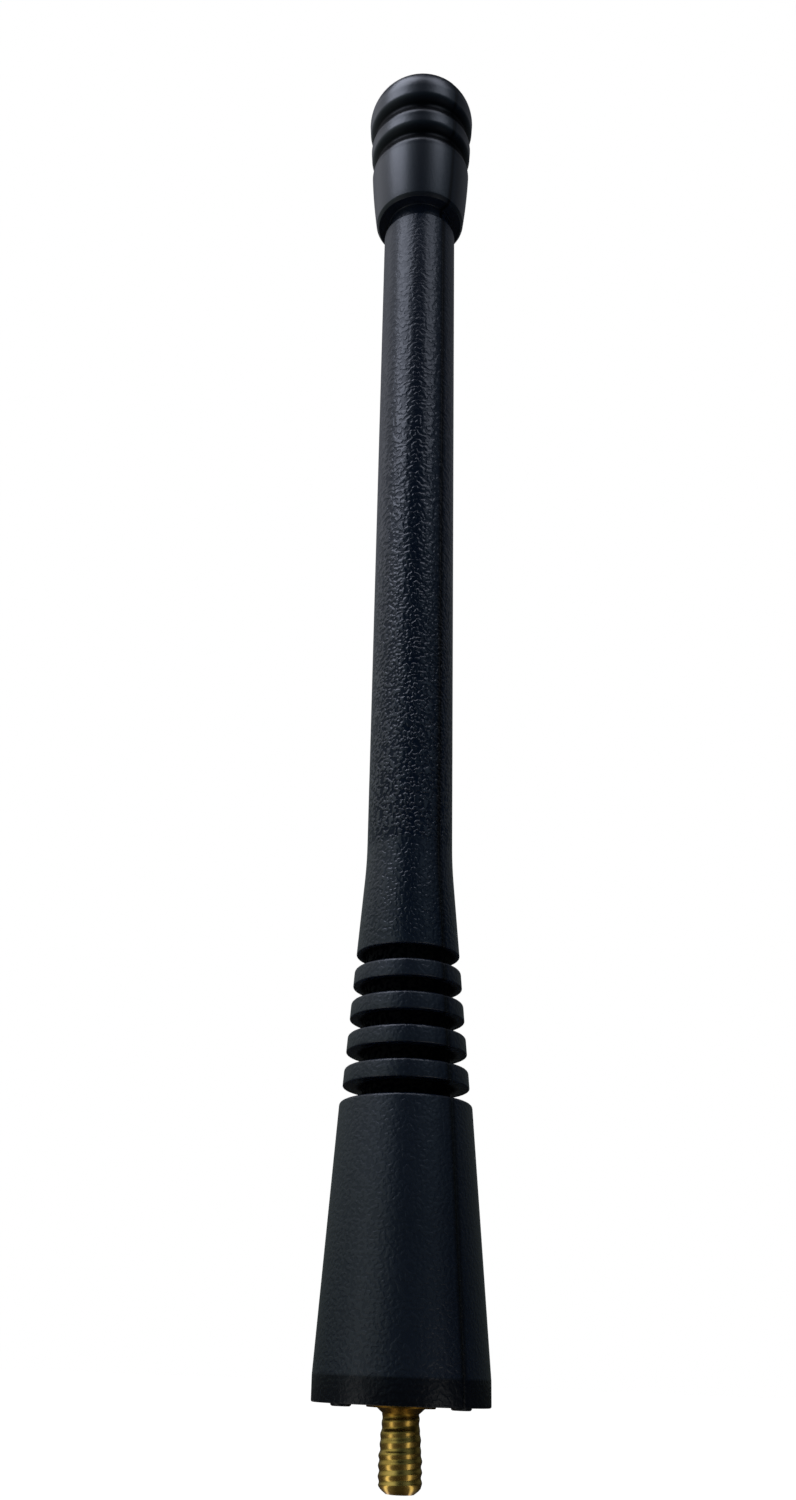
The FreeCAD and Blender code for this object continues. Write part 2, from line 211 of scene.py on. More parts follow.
# The cavity, and the part of the stud that it holds

SHOULDER_RADIUS = 3.85
SHOULDER_TOP = 1.5
LOCK_RADIUS = 3.2
HEX_FLATS = 9.5
HEX_FOOT = 3.0
HEX_TOP = 8.0
COLLAR_RADIUS = 6.0
TUBE_RADIUS = 4.1
TUBE_FOOT = 20.0
PLUG_TOP = 188.3
CAVITY = [
    (0, PLUG_TOP), (TUBE_RADIUS, PLUG_TOP), (TUBE_RADIUS, TUBE_FOOT), (COLLAR_RADIUS, TUBE_FOOT),
    (COLLAR_RADIUS, HEX_TOP), (HEX_FLATS / 2, HEX_TOP), (HEX_FLATS / 2, HEX_FOOT),
    (LOCK_RADIUS, HEX_FOOT), (LOCK_RADIUS, SHOULDER_TOP), (SHOULDER_RADIUS, SHOULDER_TOP),
]


def ring_radius(height):
    """The rings' radius at a height: they taper evenly from the cone to the flare."""
    share = (height - CONE_TOP) / (FLARE_FOOT - CONE_TOP)
    return RING_LOW_RADIUS + (RING_HIGH_RADIUS - RING_LOW_RADIUS) * share


def grooved_taper():
    """Corners of the rings between the cone and the flare: round above, crisp below."""
    corners = []
    for index in range(GROOVES):
        bottom = CONE_TOP + GROOVE_PITCH * index
        top = bottom + GROOVE_WIDTH
        edge = ring_radius(bottom) if index else CONE_TOP_RADIUS
        corners += [
            (edge, bottom, RING_TOP_ROUND),
            (GROOVE_FLOOR, bottom, GROOVE_CORNER),
            (GROOVE_FLOOR, top, GROOVE_CORNER),
            (ring_radius(top), top, RING_FOOT_ROUND),
        ]
    return corners


def head_side():
    """The head's skirt and widening band, with two grooves round it, softer on their lower side."""
    points = []
    for step in range(HEAD_STEPS + 1):
        height = SKIRT_FOOT + (BAND_RIM - SKIRT_FOOT) * step / HEAD_STEPS
        if height < SKIRT_TOP:
            share = (height - SKIRT_FOOT) / (SKIRT_TOP - SKIRT_FOOT)
            radius = SKIRT_LOW_RADIUS + (SKIRT_HIGH_RADIUS - SKIRT_LOW_RADIUS) * share
            radius += SKIRT_BOW * 4 * share * (1 - share)
        else:
            share = (height - SKIRT_TOP) / (BAND_RIM - SKIRT_TOP)
            radius = SKIRT_HIGH_RADIUS + (HEAD_RADIUS - SKIRT_HIGH_RADIUS) * share
        for middle in HEAD_GROOVES:
            off = (height - middle) / HEAD_GROOVE_REACH
            if off < 0:
                off = (middle - height) / HEAD_GROOVE_LOW_REACH
            if off < 1:
                radius -= HEAD_GROOVE_DEPTH * (0.5 + 0.5 * math.cos(math.pi * off))
        points.append((radius, height))
    return points


def sheath_outline():
    """From the top of the cavity down inside it, round the foot and up to the tip. The dome is
    an arc at the shoulder, which passes without a corner into a wider one over the crown."""
    stem_foot = FLARE_FOOT + (RING_HIGH_RADIUS - STEM_RADIUS) / math.tan(FLARE_SLOPE)
    inset = HEAD_RADIUS - DOME_SHOULDER
    turn = (inset + DOME_SHOULDER * math.cos(DOME_TURN), BAND_RIM + DOME_SHOULDER * math.sin(DOME_TURN))
    crown_radius = DOME_SHOULDER + inset / math.cos(DOME_TURN)
    tip = (0, BAND_RIM - inset * math.tan(DOME_TURN) + crown_radius)
    return rounded([
        *CAVITY,
        (SHOULDER_RADIUS, PIP_HEIGHT, 0.1),
        (FOOT_RADIUS, PIP_HEIGHT, 0.2),
        (FOOT_RADIUS, BAND_TOP, 0.3),
        *grooved_taper(),
        (STEM_RADIUS, stem_foot, FLARE_BLEND),
        (STEM_RADIUS, STEM_TOP, 0.45),
        (NECK_RADIUS, STEM_TOP, 0.1),
        (NECK_RADIUS, RIM, 0.1),
        (RIM_RADIUS, RIM, 0.06),
        RIM_EDGE,
        *head_side(),
        *bow((HEAD_RADIUS, BAND_RIM), turn, DOME_SHOULDER, steps=16),
        turn,
        *bow(turn, tip, crown_radius, steps=8),
        tip,
    ])


PARTING_ANGLES = (math.radians(-48), math.radians(132))
SEAM_STEP = 0.04
SEAM_DEPTH = 0.1
SEAM_WIDTH = 0.12
SEAM_FADE = (58, 68)
SEAM_CLOSING = 0.85
SEAM_TURNS = [0.009 * step for step in range(-5, 6)]
TURN_STEPS = 240


def sheath_turn():
    """Angles round the sheath: even steps, the hexagon's corners among them, and close steps
    at the two parting lines."""
    angles = {round(angle, 6) for angle in even_turn(TURN_STEPS)}
    for seam in PARTING_ANGLES:
        for turn in SEAM_TURNS:
            angles.add(round((seam + turn) % (2 * math.pi), 6))
    return sorted(angles)


def sheath_radius(radius, height, angle):
    """The sheath's radius at an angle. The two halves of the mould meet a little out of line,
    with a fine groove between them, which all but closes above the flare."""
    if radius == HEX_FLATS / 2:
        return hexagon_radius(HEX_FLATS, angle)
    if (radius, height) in CAVITY or height <= PIP_HEIGHT:
        return radius
    turn = (angle - PARTING_ANGLES[0]) % (2 * math.pi)
    away = min(turn % math.pi, math.pi - turn % math.pi) * radius
    side = away if turn < math.pi else -away
    low, high = SEAM_FADE
    depth = SEAM_DEPTH * (1 - SEAM_CLOSING * min(1.0, max(0.0, (height - low) / (high - low))))
    step = SEAM_STEP * (0.5 + 0.5 * math.tanh(side / SEAM_WIDTH))
    return radius - step - depth * math.exp(-(away / SEAM_WIDTH) ** 2)


def joined(piece, additions):
    """Merge other closed pieces into a piece, as one moulding."""
    for addition in additions:
        union = piece.modifiers.new("join", "BOOLEAN")
        union.operation = "UNION"
        union.solver = "EXACT"
        union.object = addition
    whole = bpy.data.meshes.new_from_object(
        piece.evaluated_get(bpy.context.evaluated_depsgraph_get()))
    piece.modifiers.clear()
    piece.data = whole
    for addition in additions:
        bpy.data.objects.remove(addition)


def foot_pips():
    """Three low round pips under the foot, each with a root inside it."""
    pips = []
    top = PIP_HEIGHT + PIP_ROOT
    outline = rounded([(0, 0), (PIP_RADIUS, 0, PIP_ROUND), (PIP_RADIUS, top), (0, top)])
    for turn in PIP_TURNS:
        pip = turned_piece(f"pip_{turn}", outline, even_turn(PIP_SIDES))
        place = math.radians(turn)
        pip.location = (PIP_CIRCLE * MM * math.cos(place), PIP_CIRCLE * MM * math.sin(place), 0)
        pips.append(pip)
    bpy.context.view_layer.update()
    return pips


# The stud: turned brass, with a No. 10-24 thread that gets thinner and shallower near the shoulder

THREAD_RADIUS = 2.413
THREAD_PITCH = 25.4 / 24
THREAD_DEPTH = 0.13
THREAD_ROWS = 180
THREAD_TOP = -0.62
SHALLOW_DEPTH = 0.6
SHALLOW_FADE = (-5.2, -4.0)
CREST_RADII = [(-4.9, THREAD_RADIUS), (-4.3, 2.28), (-2.8, 2.25), (-2.1, 2.12), (THREAD_TOP, 2.08)]
SHANK_END = -8.6
END_ROUND = 0.95
END_RISE = 1.1
STUD_SIDES = 144
RELIEF_RADIUS = 2.05
RELIEF_FLARE = 0.65
SPIGOT_RADIUS = 2.2
SPIGOT_TOP = 13.0
CUP_RADIUS = 0.255
CUP_FLOOR = 9.0


def stud_outline():
    """From the shank's end up to the hexagon, the spigot and down into the solder cup."""
    thread_foot = SHANK_END + 0.12
    shank = [
        (THREAD_RADIUS, thread_foot + (THREAD_TOP - thread_foot) * row / THREAD_ROWS)
        for row in range(THREAD_ROWS + 1)
    ]
    end_radius = THREAD_RADIUS - END_ROUND
    return rounded([
        (0, SHANK_END), (end_radius - 0.1, SHANK_END), (end_radius + 0.1, SHANK_END + 0.04), *shank,
        (RELIEF_RADIUS, THREAD_TOP + 0.06), (RELIEF_RADIUS + RELIEF_FLARE, 0, 0.25),
        (SHOULDER_RADIUS, 0, 0.1), (SHOULDER_RADIUS, SHOULDER_TOP, 0.1),
        (LOCK_RADIUS, SHOULDER_TOP), (LOCK_RADIUS, HEX_FOOT),
        (HEX_FLATS / 2, HEX_FOOT), (HEX_FLATS / 2, HEX_TOP),
        (SPIGOT_RADIUS, HEX_TOP), (SPIGOT_RADIUS, SPIGOT_TOP, 0.1),
        (CUP_RADIUS, SPIGOT_TOP, 0.05), (CUP_RADIUS, CUP_FLOOR), (0, CUP_FLOOR),
    ])


def thread_radius(radius, height, angle):
    """The stud's radius at an angle: the hexagon, and a right-handed thread as soft as it shows."""
    if radius == HEX_FLATS / 2 and HEX_FOOT <= height <= HEX_TOP:
        return hexagon_radius(HEX_FLATS, angle)
    if radius != THREAD_RADIUS:
        return radius
    crest = THREAD_RADIUS
    for (low, low_radius), (high, high_radius) in zip(CREST_RADII, CREST_RADII[1:]):
        if low < height <= high:
            crest = low_radius + (high_radius - low_radius) * (height - low) / (high - low)
    phase = (height / THREAD_PITCH - angle / (2 * math.pi)) % 1
    low, high = SHALLOW_FADE
    full = min(1.0, max(0.0, (high - height) / (high - low)))
    depth = THREAD_DEPTH * (SHALLOW_DEPTH + (1 - SHALLOW_DEPTH) * full)
    thread = crest - depth * (0.5 - 0.5 * math.cos(2 * math.pi * phase))
    rise = min(1.0, (height - SHANK_END) / END_RISE)
    rounded_end = THREAD_RADIUS - END_ROUND * (1 - rise) ** 2
    return min(thread, rounded_end)


# Materials

def colour(code):
    """An sRGB hex value as a linear colour."""
    parts = [int(code[place:place + 2], 16) / 255 for place in (1, 3, 5)]
    linear = [part / 12.92 if part <= 0.04045 else ((part + 0.055) / 1.055) ** 2.4 for part in parts]
    return (*linear, 1)


def add(tree, kind, inputs=None, stops=None, **settings):
    """Add a node with its settings, and give each input a value or a link."""
    made = tree.nodes.new(kind)
    for name, value in settings.items():
        setattr(made, name, value)
    for place, value in (inputs or {}).items():
        if isinstance(value, bpy.types.NodeSocket):
            tree.links.new(value, made.inputs[place])
        else:
            made.inputs[place].default_value = value
    if stops:
        while len(made.color_ramp.elements) < len(stops):
            made.color_ramp.elements.new(0.5)
        for element, (position, value) in zip(made.color_ramp.elements, stops):
            element.position = position
            element.color = value if isinstance(value, tuple) else (value, value, value, 1)
    return made


def new_material(name):
    """A material with no nodes yet, and its node tree."""
    made = bpy.data.materials.new(name)
    made.use_nodes = True
    made.node_tree.nodes.clear()
    return made, made.node_tree


def per_mm(size):
    """A pattern's scale for features of a size in millimetres, on coordinates in metres."""
    return 1 / (size * MM)


# How the sheath's finish changes. Each row says by what: height, reach from the axis or distance
# from the parting plane. Then come the two places in millimetres and the value at each.

SHEATH_CHANGES = {
    "coarse_line": ("height", 65.4, 66.0, 0.45, 1.0),
    "coarse_fade": ("height", 72, 165, 1.0, 0.2),
    "grain_off_rings": ("height", FLARE_FOOT, FLARE_FOOT + 1.5, 0.55, 1.0),
    "grain_below_head": ("height", STEM_TOP, RIM, 1.0, 0.15),
    "wide_pebbles": ("height", 85, 125, 0.0, 1.0),
    "deep": ("reach", 5.6, 6.2, 1.0, 0.0),
    "among_rings": ("height", FLARE_FOOT, FLARE_FOOT + 0.3, 1.0, 0.0),
    # Painted shade along the parting lines: a soft dark band, darker in colour and with less shine.
    "seam_painted_shade": ("from_seam", 0.1, 0.7, 0.9, 0.0),
    # Painted shade round the foot's band: darker colour, and half the shine.
    "band_painted_shade": ("height", BAND_TOP - 0.1, BAND_TOP + 0.2, 0.7, 0.0),
    "band_sheen_painted_shade": ("height", BAND_TOP - 0.1, BAND_TOP + 0.2, 0.5, 1.0),
    "head_dark": ("height", STEM_TOP, RIM, 0.0, 0.35),
    "head_sheen": ("height", STEM_TOP, RIM, 0.0, 0.5),
    "stem_sheen": ("height", 80, 150, 0.5, 0.26),
    "matt": ("height", FLARE_FOOT, FLARE_FOOT + 0.5, 0.28, 0.16),
    "softer_stem": ("height", 110, STEM_TOP, 0.0, 0.14),
}
# The head's grooves get painted shade: darker colour and almost no shine.
for index, middle in enumerate(HEAD_GROOVES):
    SHEATH_CHANGES[f"head_groove_foot_{index}"] = ("height", middle - 3.2, middle - 1.5, 0.0, 1.0)
    SHEATH_CHANGES[f"head_groove_top_{index}"] = ("height", middle + 0.4, middle + 1.7, 1.0, 0.0)

# Painted shade: the share of its shine that the plastic loses in the pits, along the parting lines
# and in the head's grooves, and what the grooves between the rings take off it outright

PIT_LOSS = 0.75
SEAM_LOSS = 0.6
HEAD_GROOVE_LOSS = 0.9
GROOVE_LOSS = 0.42


def sheath_plastic():
    """Charcoal polyester elastomer from a spark-eroded mould. The stem's coarse pebbles stop
    at a line above the flare, which has the same grain much lower. The rings are fine matt and
    the head is satin. Painted shade darkens the grooves, a soft band along the parting lines and
    the band round the foot, and takes shine off them and off the pits between the pebbles; the grooves
    between the rings are rougher as well. The pebbles, and the wide ones high on the stem most, are
    drawn a little coarser than they are, so that they show."""
    material, tree = new_material("moulded_elastomer")
    place = add(tree, "ShaderNodeTexCoord").outputs["Object"]
    x, y, height = add(tree, "ShaderNodeSeparateXYZ", {"Vector": place}).outputs
    level = add(tree, "ShaderNodeCombineXYZ", {"X": x, "Y": y}).outputs[0]
    reach = add(tree, "ShaderNodeVectorMath", {0: level}, operation="LENGTH").outputs["Value"]
    seam = PARTING_ANGLES[0]
    across_seam = add(tree, "ShaderNodeVectorMath", {
        0: level, 1: (-math.sin(seam), math.cos(seam), 0)}, operation="DOT_PRODUCT").outputs["Value"]
    from_seam = add(tree, "ShaderNodeMath", {0: across_seam}, operation="ABSOLUTE").outputs[0]
    measures = {"height": height, "reach": reach, "from_seam": from_seam}
    change = {
        name: add(tree, "ShaderNodeMapRange", {
            "Value": measures[measure], "From Min": low * MM, "From Max": high * MM,
            "To Min": first, "To Max": last}).outputs[0]
        for name, (measure, low, high, first, last) in SHEATH_CHANGES.items()}

    grain = change["coarse_line"]
    for name in ("coarse_fade", "grain_off_rings", "grain_below_head"):
        grain = add(tree, "ShaderNodeMath", {
            0: grain, 1: change[name]}, operation="MULTIPLY").outputs[0]
    fine_pebbles, wide_pebbles = (
        add(tree, "ShaderNodeTexNoise", {
            "Vector": place, "Scale": per_mm(size), "Detail": 0.3, "Roughness": 0.4,
            "Distortion": 0.25}).outputs[0]
        for size in (0.43, 0.6))
    pebbles = add(tree, "ShaderNodeMix", {
        "Factor": change["wide_pebbles"], "A": fine_pebbles, "B": wide_pebbles}).outputs[0]
    islands = add(tree, "ShaderNodeMapRange", {
        "Value": pebbles, "From Min": 0.38, "From Max": 0.62},
        interpolation_type="SMOOTHSTEP").outputs[0]
    relief = add(tree, "ShaderNodeMath", {0: islands, 1: grain}, operation="MULTIPLY").outputs[0]
    grit = add(tree, "ShaderNodeTexNoise", {
        "Vector": place, "Scale": per_mm(0.2), "Detail": 2.0}).outputs[0]
    fine_bump = add(tree, "ShaderNodeBump", {
        "Height": grit, "Strength": 0.5, "Distance": 0.02 * MM}).outputs[0]
    bump = add(tree, "ShaderNodeBump", {
        "Height": relief, "Strength": 1.0, "Distance": 0.075 * MM, "Normal": fine_bump}).outputs[0]

    drift = add(tree, "ShaderNodeTexNoise", {
        "Vector": place, "Scale": per_mm(14), "Detail": 4.0}).outputs[0]
    plastic = add(tree, "ShaderNodeValToRGB", {"Fac": drift}, stops=[
        (0.3, colour("#040d1a")), (0.7, colour("#07111f"))]).outputs[0]
    specks = add(tree, "ShaderNodeTexVoronoi", {
        "Vector": place, "Scale": per_mm(6)}, feature="F1").outputs["Distance"]
    dust = add(tree, "ShaderNodeMapRange", {
        "Value": specks, "From Min": 0.012, "From Max": 0.02,
        "To Min": 0.3, "To Max": 0.0}).outputs[0]
    dusty = add(tree, "ShaderNodeMix", {
        "Factor": dust, "A": plastic, "B": colour("#a9a7a0")}, data_type="RGBA").outputs[2]

    in_groove = add(tree, "ShaderNodeMath", {
        0: change["deep"], 1: change["among_rings"]}, operation="MULTIPLY").outputs[0]
    head_groove_painted_shade = [
        add(tree, "ShaderNodeMath", {
            0: change[f"head_groove_foot_{index}"], 1: change[f"head_groove_top_{index}"]},
            operation="MULTIPLY").outputs[0]
        for index in range(len(HEAD_GROOVES))]
    # Painted shade: the grooves, the band along the parting lines and the band round the foot are mixed
    # towards near black. The head is drawn a little darker all over.
    darkness = in_groove
    for part in (change["seam_painted_shade"], change["band_painted_shade"], change["head_dark"], *head_groove_painted_shade):
        darkness = add(tree, "ShaderNodeMath", {0: darkness, 1: part}, operation="MAXIMUM").outputs[0]
    shaded = add(tree, "ShaderNodeMix", {
        "Factor": darkness, "A": dusty, "B": colour("#010204")}, data_type="RGBA").outputs[2]

    # The head keeps more sheen than the upper stem. The band round the foot loses half of its sheen, as
    # painted shade.
    sheen = add(tree, "ShaderNodeMath", {
        0: change["head_sheen"], 1: change["stem_sheen"]}, operation="MAXIMUM").outputs[0]
    sheen = add(tree, "ShaderNodeMath", {
        0: sheen, 1: change["band_sheen_painted_shade"]}, operation="MULTIPLY").outputs[0]
    # Painted shade: the pits between the pebbles, the parting lines' band and the head's grooves lose
    # shine, and the grooves between the rings lose more.
    pits = add(tree, "ShaderNodeMath", {0: grain, 1: relief}, operation="SUBTRACT").outputs[0]
    losses = [(pits, PIT_LOSS), (change["seam_painted_shade"], SEAM_LOSS)]
    losses += [(part, HEAD_GROOVE_LOSS) for part in head_groove_painted_shade]
    for part, loss in losses:
        kept = add(tree, "ShaderNodeMath", {
            0: part, 1: -loss, 2: 1.0}, operation="MULTIPLY_ADD").outputs[0]
        sheen = add(tree, "ShaderNodeMath", {0: sheen, 1: kept}, operation="MULTIPLY").outputs[0]
    sheen = add(tree, "ShaderNodeMath", {
        0: in_groove, 1: -GROOVE_LOSS, 2: sheen}, operation="MULTIPLY_ADD").outputs[0]

    roughness = add(tree, "ShaderNodeMath", {
        0: change["matt"], 1: change["softer_stem"]}, operation="ADD").outputs[0]
    for part, gain in ((drift, 0.06), (in_groove, 0.4)):
        roughness = add(tree, "ShaderNodeMath", {
            0: part, 1: gain, 2: roughness}, operation="MULTIPLY_ADD").outputs[0]
    shader = add(tree, "ShaderNodeBsdfPrincipled", {
        "Base Color": shaded, "Roughness": roughness, "IOR": 1.5, "Specular IOR Level": sheen,
        "Normal": bump}).outputs[0]
    add(tree, "ShaderNodeOutputMaterial", {"Surface": shader})
    return material


def brass():
    """Free-cutting brass as the lathe leaves it: fine turning marks round the piece, and
    brown oxide in the thread's roots. Up by the shoulder, under the sheath's foot, it is darkened with
    painted shade."""
    material, tree = new_material("turned_brass")
    place = add(tree, "ShaderNodeTexCoord").outputs["Object"]
    x, y, z = add(tree, "ShaderNodeSeparateXYZ", {"Vector": place}).outputs
    level = add(tree, "ShaderNodeCombineXYZ", {"X": x, "Y": y}).outputs[0]
    reach = add(tree, "ShaderNodeVectorMath", {0: level}, operation="LENGTH").outputs["Value"]
    marks = add(tree, "ShaderNodeTexNoise", {
        "Vector": add(tree, "ShaderNodeCombineXYZ", {"X": reach, "Z": z}).outputs[0],
        "Scale": per_mm(0.09), "Detail": 2.0}).outputs[0]
    bump = add(tree, "ShaderNodeBump", {
        "Height": marks, "Strength": 0.4, "Distance": 0.01 * MM}).outputs[0]
    blotches = add(tree, "ShaderNodeTexNoise", {
        "Vector": place, "Scale": per_mm(1.6), "Detail": 5.0}).outputs[0]
    in_root = add(tree, "ShaderNodeMapRange", {
        "Value": reach, "From Min": 1.86 * MM, "From Max": 2.2 * MM,
        "To Min": 0.25, "To Max": 0.0}).outputs[0]
    handled = add(tree, "ShaderNodeMath", {
        0: blotches, 1: 0.55, 2: in_root}, operation="MULTIPLY_ADD").outputs[0]
    # Painted shade: the brass turns dark brown up by the shoulder, under the sheath's foot.
    shoulder_painted_shade = add(tree, "ShaderNodeMapRange", {
        "Value": z, "From Min": -1.0 * MM, "From Max": -0.4 * MM,
        "To Min": 0.0, "To Max": 0.6}).outputs[0]
    tarnish_and_shade = add(tree, "ShaderNodeMath", {0: handled, 1: shoulder_painted_shade}, operation="ADD").outputs[0]
    metal = add(tree, "ShaderNodeValToRGB", {"Fac": tarnish_and_shade}, stops=[
        (0.2, colour("#d3af5a")), (0.6, colour("#b08736")), (1.0, colour("#54390f"))]).outputs[0]
    roughness = add(tree, "ShaderNodeMapRange", {
        "Value": tarnish_and_shade, "To Min": 0.2, "To Max": 0.42}).outputs[0]
    shader = add(tree, "ShaderNodeBsdfPrincipled", {
        "Base Color": metal, "Metallic": 1.0, "Roughness": roughness, "Normal": bump}).outputs[0]
    add(tree, "ShaderNodeOutputMaterial", {"Surface": shader})
    return material


def ptfe():
    """Turned PTFE: waxy white, with faint tool marks and light that sinks in a little."""
    material, tree = new_material("turned_ptfe")
    place = add(tree, "ShaderNodeTexCoord").outputs["Object"]
    z = add(tree, "ShaderNodeSeparateXYZ", {"Vector": place}).outputs["Z"]
    marks = add(tree, "ShaderNodeTexNoise", {
        "Vector": add(tree, "ShaderNodeCombineXYZ", {"Z": z}).outputs[0],
        "Scale": per_mm(0.12), "Detail": 2.0}).outputs[0]
    bump = add(tree, "ShaderNodeBump", {
        "Height": marks, "Strength": 0.3, "Distance": 0.01 * MM}).outputs[0]
    cloud = add(tree, "ShaderNodeTexNoise", {
        "Vector": place, "Scale": per_mm(3), "Detail": 3.0}).outputs[0]
    white = add(tree, "ShaderNodeValToRGB", {"Fac": cloud}, stops=[
        (0.3, colour("#ecece8")), (0.7, colour("#f4f4f1"))]).outputs[0]
    shader = add(tree, "ShaderNodeBsdfPrincipled", {
        "Base Color": white, "Roughness": 0.38, "IOR": 1.35, "Normal": bump,
        "Subsurface Weight": 0.3, "Subsurface Radius": (1 * MM, 1 * MM, 1 * MM)}).outputs[0]
    add(tree, "ShaderNodeOutputMaterial", {"Surface": shader})
    return material


def copper():
    """Drawn copper: long die lines, warm, with a trace of oxide."""
    material, tree = new_material("drawn_copper")
    place = add(tree, "ShaderNodeTexCoord").outputs["Object"]
    stretched = add(tree, "ShaderNodeMapping", {"Vector": place, "Scale": (1, 1, 0.04)}).outputs[0]
    lines = add(tree, "ShaderNodeTexNoise", {
        "Vector": stretched, "Scale": per_mm(0.08), "Detail": 2.0}).outputs[0]
    bump = add(tree, "ShaderNodeBump", {
        "Height": lines, "Strength": 0.3, "Distance": 0.008 * MM}).outputs[0]
    oxide = add(tree, "ShaderNodeTexNoise", {
        "Vector": place, "Scale": per_mm(2.5), "Detail": 4.0}).outputs[0]
    metal = add(tree, "ShaderNodeValToRGB", {"Fac": oxide}, stops=[
        (0.35, colour("#e09a76")), (0.75, colour("#b96a45"))]).outputs[0]
    shader = add(tree, "ShaderNodeBsdfPrincipled", {
        "Base Color": metal, "Metallic": 1.0, "Roughness": 0.26, "Normal": bump}).outputs[0]
    add(tree, "ShaderNodeOutputMaterial", {"Surface": shader})
    return material


def tinned_braid():
    """Braid of fine tinned copper wires: two sets of bundles that cross, dull silver."""
    material, tree = new_material("tinned_copper_braid")
    place = add(tree, "ShaderNodeTexCoord").outputs["Object"]
    x, y, z = add(tree, "ShaderNodeSeparateXYZ", {"Vector": place}).outputs
    turn = add(tree, "ShaderNodeMath", {0: y, 1: x}, operation="ARCTAN2").outputs[0]
    along = add(tree, "ShaderNodeMath", {0: z, 1: per_mm(0.42)}, operation="MULTIPLY").outputs[0]
    crossings = []
    for way in (8.0, -8.0):
        lean = add(tree, "ShaderNodeMath", {
            0: turn, 1: way, 2: along}, operation="MULTIPLY_ADD").outputs[0]
        crossings.append(add(tree, "ShaderNodeMath", {0: lean}, operation="SINE").outputs[0])
    weave = add(tree, "ShaderNodeMath", {
        0: crossings[0], 1: crossings[1]}, operation="MULTIPLY").outputs[0]
    bump = add(tree, "ShaderNodeBump", {
        "Height": weave, "Strength": 0.9, "Distance": 0.05 * MM}).outputs[0]
    # Painted shade and highlight: the wires are darker in the weave's hollows and lighter where it
    # rises.
    weave_painted_shade = add(tree, "ShaderNodeMapRange", {
        "Value": weave, "From Min": -1.0, "From Max": 1.0}).outputs[0]
    metal = add(tree, "ShaderNodeValToRGB", {"Fac": weave_painted_shade}, stops=[
        (0.1, colour("#8d8d8b")), (0.6, colour("#d0d0cd"))]).outputs[0]
    shader = add(tree, "ShaderNodeBsdfPrincipled", {
        "Base Color": metal, "Metallic": 1.0, "Roughness": 0.34, "Normal": bump}).outputs[0]
    add(tree, "ShaderNodeOutputMaterial", {"Surface": shader})
    return material


def cable_jacket():
    """Extruded FEP jacket in clear brown: glossy, slightly uneven from the die."""
    material, tree = new_material("extruded_fep")
    place = add(tree, "ShaderNodeTexCoord").outputs["Object"]
    wave = add(tree, "ShaderNodeTexNoise", {
        "Vector": place, "Scale": per_mm(1.5), "Detail": 2.0}).outputs[0]
    bump = add(tree, "ShaderNodeBump", {
        "Height": wave, "Strength": 0.3, "Distance": 0.03 * MM}).outputs[0]
    brown = add(tree, "ShaderNodeValToRGB", {"Fac": wave}, stops=[
        (0.3, colour("#94602f")), (0.7, colour("#a8733d"))]).outputs[0]
    shader = add(tree, "ShaderNodeBsdfPrincipled", {
        "Base Color": brown, "Roughness": 0.2, "IOR": 1.34, "Normal": bump,
        "Subsurface Weight": 0.2, "Subsurface Radius": (0.6 * MM, 0.3 * MM, 0.1 * MM)}).outputs[0]
    add(tree, "ShaderNodeOutputMaterial", {"Surface": shader})
    return material


def nylon():
    """Moulded natural nylon: milky cream, satin, with a little light inside."""
    material, tree = new_material("moulded_nylon")
    place = add(tree, "ShaderNodeTexCoord").outputs["Object"]
    cloud = add(tree, "ShaderNodeTexNoise", {
        "Vector": place, "Scale": per_mm(2), "Detail": 4.0}).outputs[0]
    bump = add(tree, "ShaderNodeBump", {
        "Height": cloud, "Strength": 0.25, "Distance": 0.03 * MM}).outputs[0]
    cream = add(tree, "ShaderNodeValToRGB", {"Fac": cloud}, stops=[
        (0.3, colour("#e3dfcd")), (0.7, colour("#ebe8d9"))]).outputs[0]
    shader = add(tree, "ShaderNodeBsdfPrincipled", {
        "Base Color": cream, "Roughness": 0.42, "IOR": 1.53, "Normal": bump,
        "Subsurface Weight": 0.35, "Subsurface Radius": (1.2 * MM, 1 * MM, 0.8 * MM)}).outputs[0]
    add(tree, "ShaderNodeOutputMaterial", {"Surface": shader})
    return material


def glass_fibre_tube():
    """Pultruded glass-fibre tube: straw-green resin with fibres along it."""
    material, tree = new_material("pultruded_glass_fibre")
    place = add(tree, "ShaderNodeTexCoord").outputs["Object"]
    stretched = add(tree, "ShaderNodeMapping", {"Vector": place, "Scale": (1, 1, 0.03)}).outputs[0]
    fibres = add(tree, "ShaderNodeTexNoise", {
        "Vector": stretched, "Scale": per_mm(0.14), "Detail": 3.0}).outputs[0]
    bump = add(tree, "ShaderNodeBump", {
        "Height": fibres, "Strength": 0.4, "Distance": 0.02 * MM}).outputs[0]
    resin = add(tree, "ShaderNodeValToRGB", {"Fac": fibres}, stops=[
        (0.35, colour("#c9cba6")), (0.65, colour("#dcdcc0"))]).outputs[0]
    shader = add(tree, "ShaderNodeBsdfPrincipled", {
        "Base Color": resin, "Roughness": 0.3, "IOR": 1.55, "Normal": bump,
        "Subsurface Weight": 0.2, "Subsurface Radius": (1 * MM, 1 * MM, 0.7 * MM)}).outputs[0]
    add(tree, "ShaderNodeOutputMaterial", {"Surface": shader})
    return material


# Pieces

turned_brass = brass()
turned_ptfe = ptfe()
drawn_copper = copper()
moulded_nylon = nylon()

sheath = turned_piece("sheath_moulding", sheath_outline(), sheath_turn(), sheath_radius)
joined(sheath, foot_pips())
sheath.data.materials.append(sheath_plastic())
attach(sheath, "root")
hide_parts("sheath")

